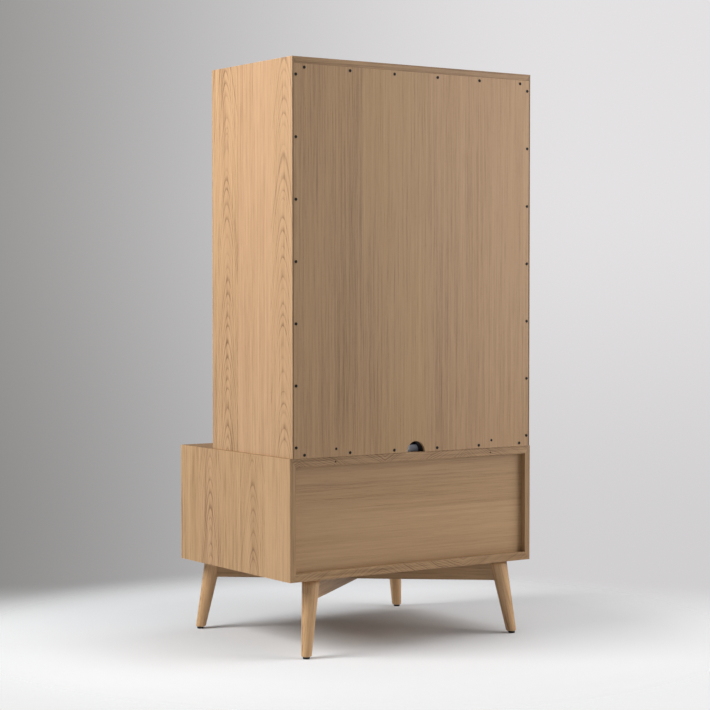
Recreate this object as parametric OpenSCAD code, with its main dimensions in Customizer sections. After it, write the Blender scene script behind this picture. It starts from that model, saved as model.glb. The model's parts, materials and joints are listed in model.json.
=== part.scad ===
// Oak armoire: an upper cabinet with two doors stands on a deeper case with two
// drawers, carried by four splayed turned legs and a crossed stretcher.
// +Z is up, the doors face -Y and the origin is on the floor below the middle.

/* [Upper cabinet] */
// Width over the side boards
upper_w = 900; // [800:1:1000]
// Depth of the side boards
upper_d = 467; // [420:1:520]
// Height of the side boards
upper_h = 1184; // [1050:1:1300]
// How far its rear face stands behind the rear face of the lower case
upper_back_step = 4; // [0:0.5:8]
// Thickness of its side, top and bottom boards
board_t = 20; // [18:1:24]
// Thickness of the back panels
back_t = 9; // [6:0.5:12]
// Width of the side boards' rear lip beside the back panel
rear_lip = 5; // [4:0.5:7]
// Radius of the cable notch at the foot of the back panel
notch_r = 34; // [20:1:45]
// Depth of the cable notch, through the back and the boards behind it
notch_depth = 35; // [32:1:45]

/* [Lower case] */
// Width over the side boards
lower_w = 912; // [812:1:1012]
// Depth of the side boards
lower_d = 657; // [600:1:700]
// Height of the side boards
lower_h = 367; // [330:1:420]
// Thickness of its top and bottom boards
cap_t = 25; // [20:1:30]
// How far its back panel is set in from the rear edges
back_recess = 20; // [10:1:25]

/* [Base] */
// Height of the lower case above the floor
base_h = 233; // [180:1:260]
// Diameter of a leg at the top
leg_top_d = 54; // [44:1:60]
// Diameter of a leg at the floor
leg_foot_d = 31; // [26:1:40]
// Half of the spacing of the leg tops from side to side
leg_x = 358; // [300:1:380]
// Half of the spacing of the leg tops from front to back
leg_y = 289; // [250:1:295]
// How far each foot stands outside its leg top
leg_splay = 44; // [20:1:60]
// Height of the stretcher planks
stretcher_h = 63; // [40:1:80]
// Thickness of the stretcher planks
stretcher_t = 22; // [18:1:30]
// Diameter of a glide
glide_d = 21; // [16:1:25]
// Height of a glide
glide_h = 6.5; // [4:0.5:10]

/* [Doors and drawers] */
// Gap around the doors and the drawer fronts
reveal = 2; // [1.5:0.5:4]
// Thickness of the doors and the drawer fronts
front_t = 20; // [18:1:22]
// Largest diameter of a knob
knob_d = 32; // [26:1:40]
// Length of a knob
knob_l = 28; // [24:1:36]
// Depth of the drawer boxes behind their fronts
drawer_box_d = 560; // [500:1:570]
// Thickness of the drawer sides and backs
drawer_side_t = 14; // [12:1:16]
// Height of the shelf above the cabinet floor
shelf_rise = 128; // [64:32:256]

/* [Hidden] */

oak = [0.80, 0.64, 0.45];
oak_dark = [0.66, 0.52, 0.37];
grey_board = [0.56, 0.56, 0.60];
ply = [0.84, 0.74, 0.58];
steel = [0.70, 0.71, 0.73];
brass = [0.78, 0.64, 0.36];
black = [0.08, 0.08, 0.08];

hair = 0.01;      // overshoot of a cut past the face that it opens
fine = 96;        // facets on round parts

// Front to back: the box of the whole armoire, knobs and screw heads included,
// is centred on the origin.
screw_head_h = 1.2;
lower_rear = (lower_d + knob_l - upper_back_step - screw_head_h) / 2;
lower_front = lower_rear - lower_d;
lower_mid = lower_rear - lower_d / 2;
upper_rear = lower_rear + upper_back_step;
upper_front = upper_rear - upper_d;

// Heights
case_z = base_h;
seat_z = base_h + lower_h;
top_z = seat_z + upper_h;
floor_z = seat_z + board_t;
ceiling_z = top_z - board_t;

// Half widths
upper_hw = upper_w / 2;
upper_in = upper_hw - board_t;
back_hw = upper_hw - rear_lip;
lower_hw = lower_w / 2;
lower_in = lower_hw - board_t;
back_in_y = upper_rear - back_t;

// ---- Helpers ----------------------------------------------------------

// Right-hand piece for side = 1, its mirror image for side = -1.
module on_side(side) {
  mirror([side < 0 ? 1 : 0, 0, 0]) children();
}

// Box from its lowest to its highest corner.
module box(low, high) {
  translate(low) cube(high - low);
}

// Cylinder along Y from y0 to y1.
module bar_y(x, z, y0, y1, r) {
  translate([x, y0, z]) rotate([-90, 0, 0]) cylinder(h = y1 - y0, r = r, $fn = fine);
}

// Cylinder along X from x0 to x1.
module bar_x(y, z, x0, x1, r) {
  translate([x0, y, z]) rotate([0, 90, 0]) cylinder(h = x1 - x0, r = r, $fn = fine);
}

// Outline in X and Z carried along Y from y0 to y1.
module along_y(outline, y0, y1) {
  translate([0, y1, 0]) rotate([90, 0, 0]) linear_extrude(y1 - y0) polygon(outline);
}

// ---- Upper cabinet ----------------------------------------------------

// Screws of the back panel: six along the top and the bottom, seven down
// each side. Each entry is [x, z].
row_screws = 6;
row_end = 42;        // from a row's end screw to the side of the cabinet
row_drop = 31;       // from the top to the upper row
col_screws = 7;
col_foot = 33;       // from the foot of the cabinet to a column's lowest screw
col_head = 53;       // from a column's highest screw to the top
row_step = (upper_w - 2 * row_end) / (row_screws - 1);
col_step = (upper_h - col_foot - col_head) / (col_screws - 1);
screw_row = [for (i = [0:row_screws - 1]) -upper_hw + row_end + i * row_step];
back_screw_places = concat(
  [for (x = screw_row) [x, top_z - row_drop]],
  [for (x = screw_row) [x, seat_z + board_t / 2]],
  [for (side = [-1, 1], i = [0:col_screws - 1])
    [side * (upper_in + back_hw) / 2, seat_z + col_foot + i * col_step]]);
back_screw_r = 1.75;
back_screw_l = 32;
back_screw_head_r = 4.6;

module back_screw_shanks() {
  for (p = back_screw_places)
    bar_y(p[0], p[1], upper_rear - back_screw_l, upper_rear + hair, back_screw_r);
}

// Holes of the strap that ties the two cases, or the armoire to a wall.
strap_x = 295;
strap_upper_z = seat_z + 24;
strap_lower_z = seat_z - 15;
strap_r = 2.5;
strap_depth = 24;

module strap_holes(z, rear) {
  for (side = [-1, 1])
    bar_y(side * strap_x, z, rear - strap_depth, rear + hair, strap_r);
}

// Round-topped cable notch, open below.
module cable_notch() {
  bar_y(0, seat_z, upper_rear - notch_depth, upper_rear + hair, notch_r);
}

// Bolts that hold the upper cabinet on the lower case.
bolt_in = [42, 70, 90];   // from the inside of the sides, the front and the rear
bolt_r = 3;
bolt_reach = 18;
bolt_head_r = 6.5;
bolt_head_h = 4;
bolt_places = [for (side = [-1, 1], y = [upper_front + bolt_in[1], upper_rear - bolt_in[2]])
  [side * (upper_in - bolt_in[0]), y]];

module case_bolt_shanks() {
  for (p = bolt_places)
    translate([p[0], p[1], seat_z - bolt_reach])
      cylinder(h = board_t + bolt_reach + hair, r = bolt_r, $fn = fine);
}

// Shelf pins
pin_r = 2.5;
pin_in = 10;
pin_step = 32;
pin_y = [upper_front + 75, back_in_y - 70];
pin_saddle = [11, 10, 2.5];     // reach, width and thickness of its saddle
pin_heel = 6.5;
pin_proud = 1;
shelf_z = floor_z + shelf_rise;
shelf_t = 18;
shelf_gap = [2, 14, 4];         // at the sides, behind the doors and at the rear rail

// Hanging rod
rod_r = 12.5;
rod_y = (upper_front + front_t + back_in_y) / 2;
rod_drop = 72;
rod_z = ceiling_z - rod_drop;
rod_wall = 1.2;
rod_play = 1;        // between an end of the rod and the side board
flange_t = 5;
flange_r = rod_r + 12;
cup_l = 14;
cup_r = rod_r + 2.5;

// Butt hinges: the pin stands in front of the gap beside the door.
leaf_t = 1.5;
leaf_h = 60;
leaf_d = 22;
leaf_gap = 0.6;
knuckle_r = 4;
hinge_pin_r = 2;
hinge_clear = 0.05;
knuckle_gap = 0.4;
knuckle_off = 0.4;       // between a knuckle and the faces of the door and the case
leaf_set = 0.8;          // from a knuckle to the front edge of a leaf
leaf_web = 1.5;          // from a knuckle to the end of the strip that joins it
hinge_x = upper_in - reveal / 2;
hinge_y = upper_front - knuckle_r - knuckle_off;
door_low = floor_z + reveal;
door_high = ceiling_z - reveal;
hinge_end = 110;
hinge_z = [door_low + hinge_end, (door_low + door_high) / 2, door_high - hinge_end];
pin_cap_h = 2;
pin_cap_r = 3.2;
hinge_screw_dz = 18;
hinge_screw_y = upper_front + 13;
hinge_screw_r = 1.6;
hinge_screw_l = 14;

// One leaf of a butt hinge with its knuckles: dir = 1 is the leaf let into the
// case, which holds the outer two knuckles, and dir = -1 the leaf on the door,
// which holds the middle one.
module hinge_leaf(dir) {
  third = leaf_h / 3;
  plate_x = hinge_x + dir * leaf_gap / 2;
  plate_low = min(plate_x, plate_x + dir * leaf_t);
  plate_high = max(plate_x, plate_x + dir * leaf_t);
  knuckles = dir > 0 ? [[-1.5, -0.5], [0.5, 1.5]] : [[-0.5, 0.5]];
  trim = dir > 0 ? 0 : knuckle_gap;
  difference() {
    union() {
      box([plate_low, hinge_y + knuckle_r + leaf_set, -leaf_h / 2],
          [plate_high, upper_front + leaf_d, leaf_h / 2]);
      for (k = knuckles) {
        box([plate_low, hinge_y, k[0] * third + trim],
            [plate_high, hinge_y + knuckle_r + leaf_web, k[1] * third - trim]);
        translate([hinge_x, hinge_y, k[0] * third + trim])
          cylinder(h = third - 2 * trim, r = knuckle_r, $fn = fine);
      }
    }
    translate([hinge_x, hinge_y, -leaf_h])
      cylinder(h = 2 * leaf_h, r = hinge_pin_r + hinge_clear, $fn = fine);
    for (dz = [-hinge_screw_dz, hinge_screw_dz])
      bar_x(hinge_screw_y, dz, hinge_x - knuckle_r, hinge_x + knuckle_r, hinge_screw_r);
  }
}

// Shallow bed that a leaf lies in, cut into the case or the door.
module leaf_bed(dir) {
  far = hinge_x + dir * (leaf_gap / 2 + leaf_t);
  for (z = hinge_z)
    box([min(far, hinge_x), upper_front - hair, z - leaf_h / 2],
        [max(far, hinge_x), upper_front + leaf_d, z + leaf_h / 2]);
}

// Shanks of the screws behind each leaf.
module hinge_screw_shanks(dir) {
  start = hinge_x + dir * leaf_gap / 2;
  stop = start + dir * hinge_screw_l;
  for (z = hinge_z, dz = [-hinge_screw_dz, hinge_screw_dz])
    bar_x(hinge_screw_y, z + dz, min(start, stop), max(start, stop), hinge_screw_r);
}

module hinge_leaves(side, dir) {
  on_side(side) for (z = hinge_z) translate([0, 0, z]) hinge_leaf(dir);
}

module upper_side(side) {
  color(oak) on_side(side) difference() {
    along_y([[upper_in, seat_z], [upper_hw, seat_z], [upper_hw, top_z],
             [upper_in, ceiling_z]], upper_front, upper_rear);
    box([upper_in - hair, back_in_y, seat_z - hair],
        [back_hw, upper_rear + hair, ceiling_z]);
    back_screw_shanks();
    leaf_bed(1);
    hinge_screw_shanks(1);
    for (y = pin_y, i = [-2:2])
      bar_x(y, shelf_z - pin_r + i * pin_step, upper_in - hair, upper_in + pin_in, pin_r);
    spline_at(upper_hw, top_z, upper_in, ceiling_z, upper_front, upper_rear);
  }
}

module upper_top() {
  color(oak) difference() {
    along_y([[-upper_hw, top_z], [-upper_in, ceiling_z], [upper_in, ceiling_z],
             [upper_hw, top_z]], upper_front, upper_rear);
    for (side = [-1, 1])
      on_side(side)
        spline_at(upper_hw, top_z, upper_in, ceiling_z, upper_front, upper_rear);
  }
}

module upper_bottom() {
  color(grey_board) difference() {
    box([-upper_in, upper_front, seat_z], [upper_in, back_in_y, floor_z]);
    back_screw_shanks();
    cable_notch();
    case_bolt_shanks();
  }
}

rail_t = notch_depth - back_t;
rail_h = 44;

module upper_rail_top() {
  color(oak_dark) difference() {
    box([-upper_in, back_in_y - board_t, ceiling_z - rail_h],
        [upper_in, back_in_y, ceiling_z]);
    back_screw_shanks();
  }
}

module upper_rail_bottom() {
  color(grey_board) difference() {
    box([-upper_in, back_in_y - rail_t, floor_z], [upper_in, back_in_y, floor_z + rail_h]);
    cable_notch();
    back_screw_shanks();
    strap_holes(strap_upper_z, upper_rear);
  }
}

module back_panel() {
  color(oak_dark) difference() {
    box([-back_hw, back_in_y, seat_z], [back_hw, upper_rear, ceiling_z]);
    back_screw_shanks();
    cable_notch();
    strap_holes(strap_upper_z, upper_rear);
  }
}

module back_screws() {
  color(black) for (p = back_screw_places) {
    bar_y(p[0], p[1], upper_rear, upper_rear + screw_head_h, back_screw_head_r);
    bar_y(p[0], p[1], upper_rear - back_screw_l, upper_rear, back_screw_r);
  }
}

module shelf() {
  color(grey_board)
    box([-upper_in + shelf_gap[0], upper_front + front_t + shelf_gap[1], shelf_z],
        [upper_in - shelf_gap[0], back_in_y - rail_t - shelf_gap[2], shelf_z + shelf_t]);
}

module shelf_pins() {
  root_x = upper_in - pin_proud;
  half = pin_saddle[1] / 2;
  under = shelf_z - pin_saddle[2];
  color(steel) for (side = [-1, 1], y = pin_y)
    on_side(side) {
      bar_x(y, shelf_z - pin_r, root_x, upper_in + pin_in, pin_r);
      box([root_x - pin_saddle[0], y - half, under], [root_x, y + half, shelf_z]);
      box([root_x - pin_saddle[2] / 2, y - half, under - pin_heel], [root_x, y + half, under]);
    }
}

module hanging_rod() {
  color(steel) difference() {
    bar_x(rod_y, rod_z, -upper_in + rod_play, upper_in - rod_play, rod_r);
    bar_x(rod_y, rod_z, -upper_in, upper_in, rod_r - rod_wall);
  }
}

module rod_sockets() {
  color(steel) for (side = [-1, 1])
    on_side(side) difference() {
      union() {
        bar_x(rod_y, rod_z, upper_in - flange_t, upper_in, flange_r);
        bar_x(rod_y, rod_z, upper_in - cup_l, upper_in, cup_r);
      }
      bar_x(rod_y, rod_z, upper_in - cup_l - hair, upper_in - rod_play, rod_r);
    }
}

// ---- Doors ------------------------------------------------------------

knob_screw_r = 2;
knob_screw_head_h = 2.6;
knob_screw_head_r = 4.5;
knob_screw_in = 14;      // how far the screw and its bore go into the knob
bore_spare = 2;
knob_base_r = 10;
knob_neck_r = 8;
knob_base_h = 2;
knob_neck_h = 4;
knob_crown_h = 9;
door_knob_x = 42;
door_knob_z = (door_low + door_high) / 2;
catch_x = 34;
catch_half = 20;
catch_h = 14;
catch_d = 16;
plate_t = 1.5;
plate_half = 16;
plate_drop = 2;
magnet_gap = 0.5;

module door(side) {
  color(oak) on_side(side) difference() {
    box([reveal / 2, upper_front, door_low], [upper_in - reveal, upper_front + front_t, door_high]);
    leaf_bed(-1);
    hinge_screw_shanks(-1);
    bar_y(door_knob_x, door_knob_z, upper_front - hair, upper_front + front_t + hair,
          knob_screw_r);
  }
}

// Turned knob on the axis (x, z), seated on the face at y.
module knob(x, z, y) {
  r = knob_d / 2;
  rim_h = knob_l - knob_crown_h;
  crown = [for (a = [0:15:90]) [r * cos(a), rim_h + knob_crown_h * sin(a)]];
  flare = [for (a = [15:15:75])
    [knob_neck_r + (r - knob_neck_r) * (1 - cos(a)),
     knob_neck_h + (rim_h - knob_neck_h) * sin(a)]];
  base = [[0, 0], [knob_base_r, 0], [knob_base_r, knob_base_h], [knob_neck_r, knob_neck_h]];
  translate([x, y, z]) rotate([90, 0, 0]) difference() {
    rotate_extrude($fn = fine) polygon(concat(base, flare, crown));
    translate([0, 0, -hair])
      cylinder(h = knob_screw_in + bore_spare, r = knob_screw_r, $fn = fine);
  }
}

// Screw that holds a knob from inside the board.
module knob_screw(x, z, y) {
  bar_y(x, z, y - knob_screw_in, y + front_t, knob_screw_r);
  bar_y(x, z, y + front_t, y + front_t + knob_screw_head_h, knob_screw_head_r);
}

module door_knob(side) {
  color(oak) knob(side * door_knob_x, door_knob_z, upper_front);
}

module door_knob_screw(side) {
  color(steel) knob_screw(side * door_knob_x, door_knob_z, upper_front);
}

module hinge_pins() {
  color(brass) for (side = [-1, 1], z = hinge_z)
    on_side(side) translate([hinge_x, hinge_y, z]) {
      translate([0, 0, -leaf_h / 2]) cylinder(h = leaf_h, r = hinge_pin_r, $fn = fine);
      for (end = [-leaf_h / 2 - pin_cap_h, leaf_h / 2])
        translate([0, 0, end]) cylinder(h = pin_cap_h, r = pin_cap_r, $fn = fine);
    }
}

module hinge_leaves_case() {
  color(brass) for (side = [-1, 1]) hinge_leaves(side, 1);
}

module hinge_leaves_door(side) {
  color(brass) hinge_leaves(side, -1);
}

module hinge_screws_case() {
  color(brass) for (side = [-1, 1]) on_side(side) hinge_screw_shanks(1);
}

module hinge_screws_door(side) {
  color(brass) on_side(side) hinge_screw_shanks(-1);
}

module catch_magnets() {
  face_y = upper_front + front_t + plate_t + magnet_gap;
  color(black) for (side = [-1, 1])
    on_side(side)
      box([catch_x - catch_half, face_y, ceiling_z - catch_h],
          [catch_x + catch_half, face_y + catch_d, ceiling_z]);
}

module catch_plate(side) {
  color(steel) on_side(side)
    box([catch_x - plate_half, upper_front + front_t, door_high - catch_h],
        [catch_x + plate_half, upper_front + front_t + plate_t, door_high - plate_drop]);
}

// ---- Lower case -------------------------------------------------------

cap_in_z = seat_z - cap_t;
deck_z = case_z + cap_t;
spline_stop = 60;
spline_t = 4;
spline_w = 14;

// Plywood spline across the mitre that runs from the outer corner (ox, oz) to
// the inner corner (ix, iz), stopped short of the front and the rear.
module spline_at(ox, oz, ix, iz, y0, y1) {
  angle = atan2(iz - oz, ix - ox);
  translate([(ox + ix) / 2, y0 + spline_stop, (oz + iz) / 2])
    rotate([0, -angle, 0])
      translate([-spline_t / 2, 0, -spline_w / 2])
        cube([spline_t, y1 - y0 - 2 * spline_stop, spline_w]);
}

module lower_splines() {
  for (side = [-1, 1])
    on_side(side) {
      spline_at(lower_hw, seat_z, lower_in, cap_in_z, lower_front, lower_rear);
      spline_at(lower_hw, case_z, lower_in, deck_z, lower_front, lower_rear);
    }
}

// Slot around the recessed back panel.
back_slot = 6;

module lower_back_slot() {
  box([-lower_in - back_slot, lower_rear - back_recess - back_t, deck_z - back_slot],
      [lower_in + back_slot, lower_rear - back_recess, cap_in_z + back_slot]);
}

module lower_side(side) {
  color(oak) on_side(side) difference() {
    along_y([[lower_hw, case_z], [lower_hw, seat_z], [lower_in, cap_in_z],
             [lower_in, deck_z]], lower_front, lower_rear);
    lower_back_slot();
    lower_splines();
  }
}

module lower_top() {
  color(oak) difference() {
    along_y([[-lower_hw, seat_z], [-lower_in, cap_in_z], [lower_in, cap_in_z],
             [lower_hw, seat_z]], lower_front, lower_rear);
    lower_back_slot();
    lower_splines();
    case_bolt_shanks();
    strap_holes(strap_lower_z, lower_rear);
  }
}

module lower_bottom() {
  color(oak) difference() {
    along_y([[-lower_hw, case_z], [lower_hw, case_z], [lower_in, deck_z],
             [-lower_in, deck_z]], lower_front, lower_rear);
    lower_back_slot();
    lower_splines();
    leg_bolt_shanks();
    stretcher_screw_shanks();
  }
}

module lower_back() {
  color(oak_dark) lower_back_slot();
}

module mitre_splines() {
  color(ply) {
    lower_splines();
    for (side = [-1, 1])
      on_side(side)
        spline_at(upper_hw, top_z, upper_in, ceiling_z, upper_front, upper_rear);
  }
}

module case_bolts() {
  color(steel) {
    case_bolt_shanks();
    for (p = bolt_places)
      translate([p[0], p[1], floor_z])
        cylinder(h = bolt_head_h, r = bolt_head_r, $fn = fine);
  }
}

// ---- Drawers and runners ----------------------------------------------

runner_w = 12.7;
runner_l = 550;
runner_front = lower_front + front_t + 2;
runner_t = 1.2;
// Web and tip of each member, from the case side, its half height and how much
// shorter than the case member it is.
case_member = [0, 10, 22, 0];
mid_member = [2, 11, 20.2, 40];
drawer_member = [runner_w - runner_t, 4.2, 18.2, 20];
mid_set = 3;
drawer_gap = 1.5 * reveal;
drawer_h = (cap_in_z - deck_z - 2 * reveal - drawer_gap) / 2;
box_side_h = drawer_h - 35;
box_back_drop = 10;
box_rise = 12;
bottom_rise = 12;
box_hw = lower_in - runner_w;
box_front = lower_front + front_t;
box_rear = box_front + drawer_box_d;
ply_t = 6;
groove = 6;
drawer_knob_x = 230;

// Lowest edge of a drawer front: tier 0 is the lower drawer, tier 1 the upper.
function drawer_z(tier) = deck_z + reveal + tier * (drawer_h + drawer_gap);
function runner_z(tier) = drawer_z(tier) + box_rise + box_side_h / 2;

// The two channels of one runner member at a tier, starting at y0: a web and,
// along its edges, two flanges that reach from it to the tip.
module runner_pair(tier, member, y0) {
  web = member[0];
  low = min(web, member[1]);
  high = max(web + runner_t, member[1]);
  half_h = member[2];
  y1 = y0 + runner_l - member[3];
  z = runner_z(tier);
  color(steel) for (side = [-1, 1])
    on_side(side) {
      box([lower_in - web - runner_t, y0, z - half_h], [lower_in - web, y1, z + half_h]);
      for (edge = [-half_h, half_h - runner_t])
        box([lower_in - high, y0, z + edge], [lower_in - low, y1, z + edge + runner_t]);
    }
}

module runners_case() {
  for (tier = [0, 1]) runner_pair(tier, case_member, runner_front);
}

module runners_mid(tier) {
  runner_pair(tier, mid_member, runner_front + mid_set);
}

module drawer_runners(tier) {
  runner_pair(tier, drawer_member, runner_front);
}

// Plywood bottom in the grooves of the sides and the front.
module drawer_bottom_solid(tier) {
  z = drawer_z(tier) + box_rise + bottom_rise;
  hw = box_hw - drawer_side_t + groove;
  box([-hw, box_front - groove, z], [hw, box_rear, z + ply_t]);
}

module drawer_front(tier) {
  z = drawer_z(tier);
  color(oak) difference() {
    box([-lower_in + reveal, lower_front, z],
        [lower_in - reveal, lower_front + front_t, z + drawer_h]);
    drawer_bottom_solid(tier);
    for (side = [-1, 1])
      bar_y(side * drawer_knob_x, z + drawer_h / 2, lower_front - hair,
            lower_front + front_t + hair, knob_screw_r);
  }
}

module drawer_sides(tier) {
  z = drawer_z(tier) + box_rise;
  color(ply) for (side = [-1, 1])
    on_side(side) difference() {
      box([box_hw - drawer_side_t, box_front, z], [box_hw, box_rear, z + box_side_h]);
      drawer_bottom_solid(tier);
    }
}

module drawer_back(tier) {
  z = drawer_z(tier) + box_rise;
  color(ply)
    box([-box_hw + drawer_side_t, box_rear - drawer_side_t, z + bottom_rise + ply_t],
        [box_hw - drawer_side_t, box_rear, z + box_side_h - box_back_drop]);
}

module drawer_bottom(tier) {
  color(grey_board) drawer_bottom_solid(tier);
}

module drawer_knobs(tier) {
  color(oak) for (side = [-1, 1])
    knob(side * drawer_knob_x, drawer_z(tier) + drawer_h / 2, lower_front);
}

module drawer_knob_screws(tier) {
  color(steel) for (side = [-1, 1])
    knob_screw(side * drawer_knob_x, drawer_z(tier) + drawer_h / 2, lower_front);
}

// ---- Base -------------------------------------------------------------

diagonal = sqrt(leg_x * leg_x + leg_y * leg_y);
leg_tilt = atan2(leg_splay, base_h);
stretcher_angle = atan2(leg_y, leg_x);
leg_bolt_in = 35;
leg_bolt_up = 16;
leg_bolt_r = 4;
glide_shank_r = 1.5;
glide_shank_l = 19;
glide_ease = 1;
stretcher_screw_at = 0.55 * diagonal;
stretcher_screw_r = 2.2;
stretcher_screw_l = 40;
stretcher_head_r = 4.4;
stretcher_head_h = 3;
well_r = 5;
well_top = base_h - 22;

// Full cone of the leg at quadrant (sx, sy), not yet cut level.
module leg_cone(sx, sy) {
  slant = base_h / cos(leg_tilt);
  taper = (leg_top_d - leg_foot_d) / 2 / slant;
  over = 30;
  translate([sx * leg_x, lower_mid + sy * leg_y, base_h])
    rotate([0, 0, atan2(sy * leg_y, sx * leg_x)])
      rotate([0, 180 - leg_tilt, 0])
        translate([0, 0, -over])
          cylinder(h = slant + 2 * over, r1 = leg_top_d / 2 + over * taper,
                   r2 = leg_foot_d / 2 - over * taper, $fn = fine);
}

module leg(sx, sy) {
  color(oak) difference() {
    intersection() {
      leg_cone(sx, sy);
      box([-lower_w, -lower_d, glide_h], [lower_w, lower_d, base_h]);
    }
    leg_bolt_shanks();
    glide_shanks();
  }
}

module leg_bolt_shanks() {
  for (sx = [-1, 1], sy = [-1, 1])
    translate([sx * leg_x, lower_mid + sy * leg_y, base_h - leg_bolt_in])
      cylinder(h = leg_bolt_in + leg_bolt_up, r = leg_bolt_r, $fn = fine);
}

function foot(sx, sy) = [sx * leg_x * (1 + leg_splay / diagonal),
                         lower_mid + sy * leg_y * (1 + leg_splay / diagonal)];

module glide_shanks() {
  for (sx = [-1, 1], sy = [-1, 1])
    translate([foot(sx, sy)[0], foot(sx, sy)[1], glide_h - glide_ease])
      cylinder(h = glide_shank_l, r = glide_shank_r, $fn = fine);
}

module leg_glides() {
  color(black) {
    for (sx = [-1, 1], sy = [-1, 1])
      translate([foot(sx, sy)[0], foot(sx, sy)[1], 0]) {
        cylinder(h = glide_ease, r1 = glide_d / 2 - glide_ease, r2 = glide_d / 2, $fn = fine);
        translate([0, 0, glide_ease])
          cylinder(h = glide_h - glide_ease, r = glide_d / 2, $fn = fine);
      }
    glide_shanks();
  }
}

// Stretcher plank along one diagonal: lap = 1 is cut away below the crossing
// and lap = -1 above it, so that the two lie in each other.
module stretcher(lap) {
  color(oak) difference() {
    translate([0, lower_mid, base_h - stretcher_h]) rotate([0, 0, lap * stretcher_angle])
      translate([-diagonal, -stretcher_t / 2, 0])
        cube([2 * diagonal, stretcher_t, stretcher_h]);
    for (s = [-1, 1]) leg_cone(s, lap * s);
    translate([0, lower_mid, base_h - stretcher_h + (lap > 0 ? -hair : stretcher_h / 2)])
      rotate([0, 0, -lap * stretcher_angle])
        translate([-diagonal, -stretcher_t / 2, 0])
          cube([2 * diagonal, stretcher_t, stretcher_h / 2 + hair]);
    stretcher_screw_shanks();
    stretcher_screw_wells();
  }
}

stretcher_screw_places = [for (s = [-1, 1], lap = [-1, 1])
  [s * stretcher_screw_at * cos(stretcher_angle),
   lower_mid + lap * s * stretcher_screw_at * sin(stretcher_angle)]];

module stretcher_screw_shanks() {
  for (p = stretcher_screw_places)
    translate([p[0], p[1], well_top])
      cylinder(h = stretcher_screw_l, r = stretcher_screw_r, $fn = fine);
}

module stretcher_screw_wells() {
  for (p = stretcher_screw_places)
    translate([p[0], p[1], base_h - stretcher_h - hair])
      cylinder(h = well_top - (base_h - stretcher_h) + hair, r = well_r, $fn = fine);
}

module base_fixings() {
  color(steel) {
    leg_bolt_shanks();
    stretcher_screw_shanks();
    for (p = stretcher_screw_places)
      translate([p[0], p[1], well_top - stretcher_head_h])
        cylinder(h = stretcher_head_h, r = stretcher_head_r, $fn = fine);
  }
}

upper_side(-1);  // upper_side_left
upper_side(1);  // upper_side_right
upper_top();
upper_bottom();
upper_rail_top();
upper_rail_bottom();
back_panel();
back_screws();
shelf();
shelf_pins();
hanging_rod();
rod_sockets();
door(-1);  // door_left
door(1);  // door_right
hinge_leaves_case();
hinge_leaves_door(-1);  // hinge_leaves_left
hinge_leaves_door(1);  // hinge_leaves_right
hinge_pins();
hinge_screws_case();
hinge_screws_door(-1);  // hinge_screws_left
hinge_screws_door(1);  // hinge_screws_right
catch_magnets();
catch_plate(-1);  // catch_plate_left
catch_plate(1);  // catch_plate_right
door_knob(-1);  // door_knob_left
door_knob(1);  // door_knob_right
door_knob_screw(-1);  // door_knob_screws_left
door_knob_screw(1);  // door_knob_screws_right
lower_side(-1);  // lower_side_left
lower_side(1);  // lower_side_right
lower_top();
lower_bottom();
lower_back();
mitre_splines();
case_bolts();
runners_case();
runners_mid(1);  // runners_mid_upper
runners_mid(0);  // runners_mid_lower
drawer_front(1);  // drawer_front_upper
drawer_sides(1);  // drawer_sides_upper
drawer_back(1);  // drawer_back_upper
drawer_bottom(1);  // drawer_bottom_upper
drawer_runners(1);  // drawer_runners_upper
drawer_knobs(1);  // drawer_knobs_upper
drawer_knob_screws(1);  // drawer_knob_screws_upper
drawer_front(0);  // drawer_front_lower
drawer_sides(0);  // drawer_sides_lower
drawer_back(0);  // drawer_back_lower
drawer_bottom(0);  // drawer_bottom_lower
drawer_runners(0);  // drawer_runners_lower
drawer_knobs(0);  // drawer_knobs_lower
drawer_knob_screws(0);  // drawer_knob_screws_lower
leg(-1, -1);  // leg_front_left
leg(1, -1);  // leg_front_right
leg(-1, 1);  // leg_rear_left
leg(1, 1);  // leg_rear_right
stretcher(-1);  // stretcher_left
stretcher(1);  // stretcher_right
base_fixings();
leg_glides();
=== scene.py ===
"""Oak armoire: a tall cabinet with two doors on a deeper case with two drawers,
carried by four splayed turned legs and a crossed stretcher.

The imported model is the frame. The boards here are copies of its boards with eased
edges, and the legs, glides, knobs and screw heads are turned surfaces worked out
from its boxes. All the other fittings keep their shape and get their finishes.
Everything is in metres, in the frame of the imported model."""

import json
import math

import bmesh
import bpy
import numpy as np
from bpy.props import FloatProperty, FloatVectorProperty, IntProperty, PointerProperty
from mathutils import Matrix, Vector


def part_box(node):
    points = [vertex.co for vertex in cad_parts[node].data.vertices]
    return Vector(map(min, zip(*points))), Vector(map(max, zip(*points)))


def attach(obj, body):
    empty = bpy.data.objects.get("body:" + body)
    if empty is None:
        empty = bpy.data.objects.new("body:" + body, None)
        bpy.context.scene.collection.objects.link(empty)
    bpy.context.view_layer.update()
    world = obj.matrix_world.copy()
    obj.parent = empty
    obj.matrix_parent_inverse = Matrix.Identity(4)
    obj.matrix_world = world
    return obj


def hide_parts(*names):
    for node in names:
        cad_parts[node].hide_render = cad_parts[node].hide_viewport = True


bl_info = {
    "name": "Oak armoire",
    "version": (1, 0, 0),
    "blender": (4, 5, 0),
    "location": "View3D > Sidebar > Armoire",
    "description": "Boards, turned parts, fittings and finishes of an oak armoire",
    "category": "Object",
}

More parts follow.
